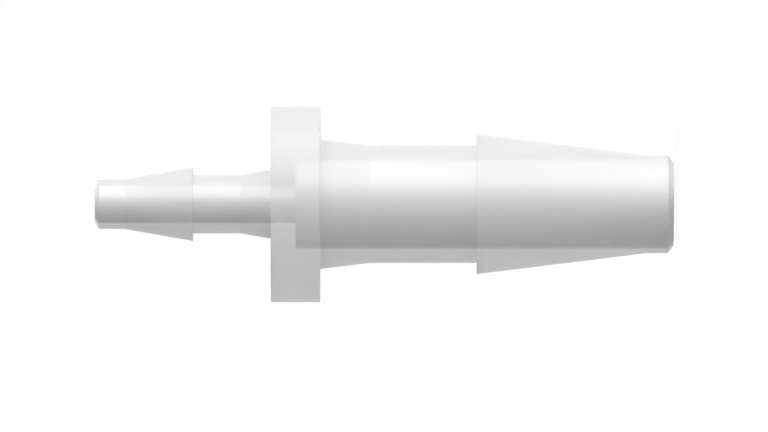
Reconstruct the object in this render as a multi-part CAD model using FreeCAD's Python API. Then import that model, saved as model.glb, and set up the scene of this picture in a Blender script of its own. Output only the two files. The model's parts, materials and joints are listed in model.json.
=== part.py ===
import FreeCAD, Part
import os

# Reducing hose coupling, moulded in one piece of natural polypropylene.
# A barb for tubing of 6.4 mm bore and a barb for tubing of 3.2 mm bore stand back to back on a round flange.
# Lengths are in millimetres. The axis is Z: the large barb's tip is at Z = 0 and the small barb points up.
# Along the axis each barb is tip chamfer, plain lead, long cone, square step, relieved shank and flare.

# flange, which both tubes are pushed up to
FLANGE_DIAMETER = 11.18
FLANGE_THICKNESS = 2.80

# large barb: radial sizes, from the bore outwards
LARGE_BORE_DIAMETER = 4.25
LARGE_TIP_LAND = 0.225
LARGE_CHAMFER_DEPTH = 0.445
LARGE_SHANK_WALL = 1.225
LARGE_BARB_STEP = 0.64
LARGE_FLARE_RISE = 0.35

# large barb: lengths along the axis, from the tip to the flange
LARGE_CHAMFER_LENGTH = 0.31
LARGE_LEAD_LENGTH = 1.27
LARGE_CONE_LENGTH = 9.65
LARGE_SHANK_LENGTH = 6.12
LARGE_FLARE_LENGTH = 2.80

# small barb: radial sizes, from the bore outwards
SMALL_BORE_DIAMETER = 1.80
SMALL_TIP_LAND = 0.17
SMALL_CHAMFER_DEPTH = 0.34
SMALL_SHANK_WALL = 0.765
SMALL_BARB_STEP = 0.435
SMALL_FLARE_RISE = 0.305

# small barb: lengths along the axis, from the tip to the flange
SMALL_CHAMFER_LENGTH = 0.23
SMALL_LEAD_LENGTH = 1.46
SMALL_CONE_LENGTH = 3.90
SMALL_SHANK_LENGTH = 2.73
SMALL_FLARE_LENGTH = 1.73


def barb_outline(bore, tip_land, chamfer, lead_length, cone_length, barb_step, shank, flare):
    """A barb's half-section as (radius, distance from its tip) corners, from the bore's edge to the flange.

    chamfer is (length, depth), shank is (length, wall round the bore) and flare is (length, rise).
    """
    chamfer_length, chamfer_depth = chamfer
    shank_length, shank_wall = shank
    flare_length, flare_rise = flare
    face_radius = bore + tip_land
    lead_radius = face_radius + chamfer_depth
    shank_radius = bore + shank_wall
    cone_start = chamfer_length + lead_length
    step = cone_start + cone_length
    flare_start = step + shank_length
    return [
        (bore, 0),
        (face_radius, 0),
        (lead_radius, chamfer_length),
        (lead_radius, cone_start),
        (shank_radius + barb_step, step),
        (shank_radius, step),
        (shank_radius, flare_start),
        (shank_radius + flare_rise, flare_start + flare_length),
    ]


def large_barb():
    return barb_outline(
        bore=LARGE_BORE_DIAMETER / 2,
        tip_land=LARGE_TIP_LAND,
        chamfer=(LARGE_CHAMFER_LENGTH, LARGE_CHAMFER_DEPTH),
        lead_length=LARGE_LEAD_LENGTH,
        cone_length=LARGE_CONE_LENGTH,
        barb_step=LARGE_BARB_STEP,
        shank=(LARGE_SHANK_LENGTH, LARGE_SHANK_WALL),
        flare=(LARGE_FLARE_LENGTH, LARGE_FLARE_RISE),
    )


def small_barb():
    return barb_outline(
        bore=SMALL_BORE_DIAMETER / 2,
        tip_land=SMALL_TIP_LAND,
        chamfer=(SMALL_CHAMFER_LENGTH, SMALL_CHAMFER_DEPTH),
        lead_length=SMALL_LEAD_LENGTH,
        cone_length=SMALL_CONE_LENGTH,
        barb_step=SMALL_BARB_STEP,
        shank=(SMALL_SHANK_LENGTH, SMALL_SHANK_WALL),
        flare=(SMALL_FLARE_LENGTH, SMALL_FLARE_RISE),
    )


def half_section():
    """The coupling's closed half-section as (radius, z) corners, starting at the large bore's mouth."""
    large = large_barb()
    small = small_barb()
    flange_low = large[-1][1]
    flange_high = flange_low + FLANGE_THICKNESS
    top = flange_high + small[-1][1]
    flange_radius = FLANGE_DIAMETER / 2
    flange = [(flange_radius, flange_low), (flange_radius, flange_high)]
    small_from_flange = [(radius, top - distance) for radius, distance in reversed(small)]
    # the bores meet on the flange's mid-plane, in a flat ring round the small one
    shoulder = (flange_low + flange_high) / 2
    bore_step = [(SMALL_BORE_DIAMETER / 2, shoulder), (LARGE_BORE_DIAMETER / 2, shoulder)]
    return large + flange + small_from_flange + bore_step


def coupling_body():
    """The half-section turned a full circle about the axis."""
    corners = [FreeCAD.Vector(radius, 0, z) for radius, z in half_section()]
    section = Part.Face(Part.makePolygon(corners + corners[:1]))
    return section.revolve(FreeCAD.Vector(0, 0, 0), FreeCAD.Vector(0, 0, 1), 360)


os.makedirs("parts", exist_ok=True)
coupling_body().exportStep("parts/coupling_body.step")
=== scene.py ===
import json
import math

import bmesh
import bpy
from mathutils import Matrix, Vector


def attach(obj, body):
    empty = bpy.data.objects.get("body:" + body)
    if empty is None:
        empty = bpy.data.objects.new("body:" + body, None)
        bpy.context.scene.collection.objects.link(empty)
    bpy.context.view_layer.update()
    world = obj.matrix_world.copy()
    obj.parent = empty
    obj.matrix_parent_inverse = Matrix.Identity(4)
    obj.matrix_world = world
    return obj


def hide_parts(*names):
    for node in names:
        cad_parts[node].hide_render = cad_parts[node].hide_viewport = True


# A reducing hose coupling in natural polypropylene, standing on its large end in a white studio.
# Lengths are in metres, angles in degrees and lamp powers in watts.
# The camera lies on its side, so that the coupling's axis runs across the picture.

PIECE = "coupling_moulding"
NODE = "coupling_body"
MILLIMETRE = 0.001

# the mesh: its steps round the axis, and the rounding of its edges, where a profile of 0.5 is a true arc
ROUND_SEGMENTS = 256
EDGE_ROUNDING = 0.00001
EDGE_SEGMENTS = 3
EDGE_PROFILE = 0.5

# what counts as a straight line, and as one point, when the mesh is made
STRAIGHT_WITHIN = 1
SAME_POINT = 0.0000001

# the plastic's clouds, between two grey levels, its fine grain, and what the noise in both mostly stays in
PALE = 0.94
MILKY = 0.92
CLOUD_SIZE = 0.003
CLOUD_DETAIL = 3
GRAIN_SIZE = 0.00025
GRAIN_DETAIL = 2
GRAIN_DEPTH = 0.000001
NOISE_RANGE = (0.3, 0.7)

# the plastic's roughness, the indices of its body and its skin, and the light that each wall passes on
ROUGHNESS_RANGE = (0.04, 0.06)
BODY_INDEX = 1.19
SKIN_INDEX = 2.0
PASSED_ON = 0.88

# the two plastics: the share of light that goes clear through, and how strong and how rough the skin is
OUTSIDE = {"clearness": 0.35, "skin": 0.4, "skin_roughness": 0.6}
BORE_WALL = {"clearness": 0.1, "skin": 1, "skin_roughness": 0.5}

# the backdrop and the floor: the light scattered from all round, and the floor's paint and own glow
SCATTERED_LIGHT = 0.23
FLOOR_PAINT = 0.8
FLOOR_GLOW = 0.6
FLOOR_HALF = 0.15

# the lamps: the key stands on the floor, KEY_AZIMUTH round from the camera towards +X
KEY_AZIMUTH = 65
KEY_DISTANCE = 2.5
KEY_OFF_FLOOR = 0.01
KEY_SIZE = (2.7, 0.5)
KEY_POWER = 58
BACK_PLACE = (0, 2, 1.5)
BACK_SIZE = (1.5, 1.5)
BACK_POWER = 25

# the camera: the picture's width at the coupling, where its middle is, and how near and far it sees
LENS_MM = 800
PICTURE_WIDTH = 0.04383
PICTURE_CENTRE_X = -0.00067
PICTURE_CENTRE_Z = 0.01651
NEAREST = 0.01
FURTHEST = 20


def half_section(node):
    """The solid's half-section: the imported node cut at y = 0, on the side where x is positive."""
    cut = bmesh.new()
    cut.from_mesh(node.data)
    bmesh.ops.remove_doubles(cut, verts=cut.verts, dist=SAME_POINT)
    everything = cut.verts[:] + cut.edges[:] + cut.faces[:]
    bmesh.ops.bisect_plane(
        cut, geom=everything, dist=SAME_POINT, plane_co=(0, 0, 0), plane_no=(0, 1, 0),
        clear_inner=True, clear_outer=True,
    )
    bmesh.ops.delete(cut, geom=[v for v in cut.verts if v.co.x < 0], context="VERTS")
    return cut


def rounded_section(node):
    """The half-section as one closed line, with a point only where it turns and its corners just rounded."""
    section = half_section(node)
    bmesh.ops.dissolve_limit(
        section, angle_limit=math.radians(STRAIGHT_WITHIN), verts=section.verts, edges=section.edges,
    )
    bmesh.ops.contextual_create(section, geom=section.edges[:])
    bmesh.ops.bevel(
        section, geom=section.verts[:], offset=EDGE_ROUNDING, offset_type="OFFSET",
        segments=EDGE_SEGMENTS, profile=EDGE_PROFILE, affect="VERTICES",
    )
    bmesh.ops.delete(section, geom=section.faces[:], context="FACES_ONLY")
    return section


def turned_mesh(section):
    """The section turned a full circle about the axis, with the faces outwards."""
    bmesh.ops.spin(
        section, geom=section.verts[:] + section.edges[:], cent=(0, 0, 0), axis=(0, 0, 1),
        angle=2 * math.pi, steps=ROUND_SEGMENTS, use_merge=True,
    )
    bmesh.ops.remove_doubles(section, verts=section.verts, dist=SAME_POINT)
    bmesh.ops.recalc_face_normals(section, faces=section.faces)
    if section.calc_volume(signed=True) < 0:
        bmesh.ops.reverse_faces(section, faces=section.faces)
    mesh = bpy.data.meshes.new(PIECE)
    section.to_mesh(mesh)
    section.free()
    return mesh


def shade_smooth(mesh):
    """Smooth shading, each face weighed by its area, so that long faces stay true up to their edges."""
    mesh.polygons.foreach_set("use_smooth", [True] * len(mesh.polygons))
    normals = [Vector() for vertex in mesh.vertices]
    for face in mesh.polygons:
        for corner in face.vertices:
            normals[corner] += face.normal * face.area
    mesh.normals_split_custom_set_from_vertices([normal.normalized() for normal in normals])


def grey(level):
    """A colour without a hue."""
    return (level, level, level, 1)


def noise(nodes, links, place, size, detail):
    """A noise texture whose features are about size across, on the coupling's own coordinates."""
    texture = nodes.new("ShaderNodeTexNoise")
    texture.inputs["Scale"].default_value = 1 / size
    texture.inputs["Detail"].default_value = detail
    links.new(place.outputs["Object"], texture.inputs["Vector"])
    return texture.outputs["Fac"]


def graded(nodes, links, value, low, high):
    """A noise value, which mostly stays in NOISE_RANGE, spread from low to high."""
    grade = nodes.new("ShaderNodeMapRange")
    grade.inputs["From Min"].default_value = NOISE_RANGE[0]
    grade.inputs["From Max"].default_value = NOISE_RANGE[1]
    grade.inputs["To Min"].default_value = low
    grade.inputs["To Max"].default_value = high
    links.new(value, grade.inputs["Value"])
    return grade.outputs["Result"]


def larger(nodes, links, first, second):
    """The larger of two values."""
    maximum = nodes.new("ShaderNodeMath")
    maximum.operation = "MAXIMUM"
    links.new(first, maximum.inputs[0])
    links.new(second, maximum.inputs[1])
    return maximum.outputs["Value"]


def clouded(nodes, links, place):
    """The plastic's colour, with faint clouds in it."""
    clouds = noise(nodes, links, place, CLOUD_SIZE, CLOUD_DETAIL)
    tint = nodes.new("ShaderNodeMix")
    tint.data_type = "RGBA"
    tint.inputs["A"].default_value = grey(MILKY)
    tint.inputs["B"].default_value = grey(PALE)
    links.new(graded(nodes, links, clouds, 0, 1), tint.inputs["Factor"])
    return tint.outputs["Result"]


def grained(nodes, links, grain):
    """The surface's own direction, with a very fine grain."""
    bump = nodes.new("ShaderNodeBump")
    bump.inputs["Strength"].default_value = 1
    bump.inputs["Distance"].default_value = GRAIN_DEPTH
    links.new(grain, bump.inputs["Height"])
    return bump.outputs["Normal"]


def polypropylene(name, clearness, skin, skin_roughness):
    """Milky plastic that lets some light clear through, under a satin skin, which is the shader's coat."""
    material = bpy.data.materials.new(name)
    material.use_nodes = True
    nodes, links = material.node_tree.nodes, material.node_tree.links
    place = nodes.new("ShaderNodeTexCoord")
    grain = noise(nodes, links, place, GRAIN_SIZE, GRAIN_DETAIL)

    shader = nodes["Principled BSDF"]
    shader.inputs["IOR"].default_value = BODY_INDEX
    shader.inputs["Specular IOR Level"].default_value = 0
    shader.inputs["Transmission Weight"].default_value = clearness
    shader.inputs["Coat Weight"].default_value = skin
    shader.inputs["Coat Roughness"].default_value = skin_roughness
    shader.inputs["Coat IOR"].default_value = SKIN_INDEX
    links.new(clouded(nodes, links, place), shader.inputs["Base Color"])
    links.new(graded(nodes, links, grain, *ROUGHNESS_RANGE), shader.inputs["Roughness"])
    links.new(grained(nodes, links, grain), shader.inputs["Normal"])
    let_light_through(nodes, links, shader)
    return material


def let_light_through(nodes, links, shader):
    """The plastic passes the lamps' light and scattered light on to its own far walls and the floor."""
    path = nodes.new("ShaderNodeLightPath")
    passing = nodes.new("ShaderNodeBsdfTransparent")
    passing.inputs["Color"].default_value = grey(PASSED_ON)
    either = nodes.new("ShaderNodeMixShader")
    goes_through = larger(nodes, links, path.outputs["Is Shadow Ray"], path.outputs["Is Diffuse Ray"])
    links.new(goes_through, either.inputs[0])
    links.new(shader.outputs["BSDF"], either.inputs[1])
    links.new(passing.outputs["BSDF"], either.inputs[2])
    links.new(either.outputs["Shader"], nodes["Material Output"].inputs["Surface"])


def in_bore(face, bore):
    """True for a face on this bore's wall, from the bore's mount in the record."""
    reach = bore["dims"]["length_mm"] / 2 * MILLIMETRE
    radius = bore["dims"]["r_mm"] * MILLIMETRE + EDGE_ROUNDING
    return abs(face.center.z - bore["pos_m"][2]) < reach and face.center.xy.length < radius


def moulding(node, mounts):
    """The coupling in one piece, with the bores' walls in a hazier plastic than the outside."""
    piece = bpy.data.objects.new(PIECE, turned_mesh(rounded_section(node)))
    bpy.context.scene.collection.objects.link(piece)
    shade_smooth(piece.data)
    piece.data.materials.append(polypropylene("outside_plastic", **OUTSIDE))
    piece.data.materials.append(polypropylene("bore_plastic", **BORE_WALL))
    bores = [mount for mount in mounts if mount["kind"] == "bore"]
    for face in piece.data.polygons:
        face.material_index = int(any(in_bore(face, bore) for bore in bores))
    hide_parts(NODE)
    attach(piece, "root")


def seen_directly(nodes, links):
    """1 for what the camera sees straight on, in a reflection or through the plastic, else 0."""
    path = nodes.new("ShaderNodeLightPath")
    mirrored = larger(nodes, links, path.outputs["Is Camera Ray"], path.outputs["Is Glossy Ray"])
    return larger(nodes, links, mirrored, path.outputs["Is Transmission Ray"])


def studio():
    """A backdrop all round that shows as white, and lights the coupling only faintly."""
    world = bpy.data.worlds.new("studio")
    bpy.context.scene.world = world
    world.use_nodes = True
    nodes, links = world.node_tree.nodes, world.node_tree.links
    grade = nodes.new("ShaderNodeMapRange")
    grade.inputs["To Min"].default_value = SCATTERED_LIGHT
    grade.inputs["To Max"].default_value = 1
    links.new(seen_directly(nodes, links), grade.inputs["Value"])
    nodes["Background"].inputs["Color"].default_value = grey(1)
    links.new(grade.outputs["Result"], nodes["Background"].inputs["Strength"])


def floor():
    """A square of floor under the coupling."""
    mesh = bpy.data.meshes.new("floor")
    corners = [(-FLOOR_HALF, -FLOOR_HALF, 0), (FLOOR_HALF, -FLOOR_HALF, 0)]
    corners += [(FLOOR_HALF, FLOOR_HALF, 0), (-FLOOR_HALF, FLOOR_HALF, 0)]
    mesh.from_pydata(corners, [], [(0, 1, 2, 3)])
    piece = bpy.data.objects.new("floor", mesh)
    bpy.context.scene.collection.objects.link(piece)
    mesh.materials.append(floor_paint())


def floor_paint():
    """White paint that shows as white as the backdrop, and still keeps the coupling's shadow."""
    material = bpy.data.materials.new("floor_paint")
    material.use_nodes = True
    nodes, links = material.node_tree.nodes, material.node_tree.links
    nodes.remove(nodes["Principled BSDF"])
    paint = nodes.new("ShaderNodeBsdfDiffuse")
    paint.inputs["Color"].default_value = grey(FLOOR_PAINT)
    glow = nodes.new("ShaderNodeEmission")
    glow.inputs["Strength"].default_value = FLOOR_GLOW
    both = nodes.new("ShaderNodeAddShader")
    either = nodes.new("ShaderNodeMixShader")
    links.new(paint.outputs["BSDF"], both.inputs[0])
    links.new(glow.outputs["Emission"], both.inputs[1])
    links.new(seen_directly(nodes, links), either.inputs[0])
    links.new(paint.outputs["BSDF"], either.inputs[1])
    links.new(both.outputs["Shader"], either.inputs[2])
    links.new(either.outputs["Shader"], nodes["Material Output"].inputs["Surface"])
    return material


def lamp(name, place, size, power):
    """A rectangular lamp, size as (width, height), that faces the coupling and is never seen through it."""
    data = bpy.data.lights.new(name, "AREA")
    data.shape = "RECTANGLE"
    data.size, data.size_y = size
    data.energy = power
    item = bpy.data.objects.new(name, data)
    bpy.context.scene.collection.objects.link(item)
    item.location = place
    item.visible_transmission = False
    item.rotation_mode = "QUATERNION"
    item.rotation_quaternion = Vector(place).to_track_quat("Z", "Y")


def key_place():
    """The key lamp's middle."""
    angle = math.radians(KEY_AZIMUTH)
    height = KEY_SIZE[1] / 2 + KEY_OFF_FLOOR
    return (KEY_DISTANCE * math.sin(angle), -KEY_DISTANCE * math.cos(angle), height)


def camera():
    """A long lens, level with the coupling's middle and turned a quarter round."""
    data = bpy.data.cameras.new("camera")
    data.lens = LENS_MM
    data.clip_start = NEAREST
    data.clip_end = FURTHEST
    eye = bpy.data.objects.new("camera", data)
    bpy.context.scene.collection.objects.link(eye)
    distance = PICTURE_WIDTH * LENS_MM / data.sensor_width
    # the picture's right is -Z and its top is +X, and the camera looks along +Y
    sideways = Matrix(((0, 1, 0), (0, 0, -1), (-1, 0, 0)))
    place = Vector((PICTURE_CENTRE_X, -distance, PICTURE_CENTRE_Z))
    eye.matrix_world = Matrix.Translation(place) @ sideways.to_4x4()
    bpy.context.scene.camera = eye


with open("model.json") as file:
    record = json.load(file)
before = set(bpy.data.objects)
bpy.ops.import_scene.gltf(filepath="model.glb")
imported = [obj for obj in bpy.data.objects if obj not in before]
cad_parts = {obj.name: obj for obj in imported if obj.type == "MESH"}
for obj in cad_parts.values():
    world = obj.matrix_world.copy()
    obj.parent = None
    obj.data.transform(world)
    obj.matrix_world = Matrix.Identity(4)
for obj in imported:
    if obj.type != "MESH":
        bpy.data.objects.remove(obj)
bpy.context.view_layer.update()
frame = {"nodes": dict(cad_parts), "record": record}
bpy.context.scene.view_settings.view_transform = "Standard"
moulding(frame["nodes"][NODE], frame["record"]["mounts"])
studio()
floor()
lamp("key", key_place(), KEY_SIZE, KEY_POWER)
lamp("back", BACK_PLACE, BACK_SIZE, BACK_POWER)
camera()
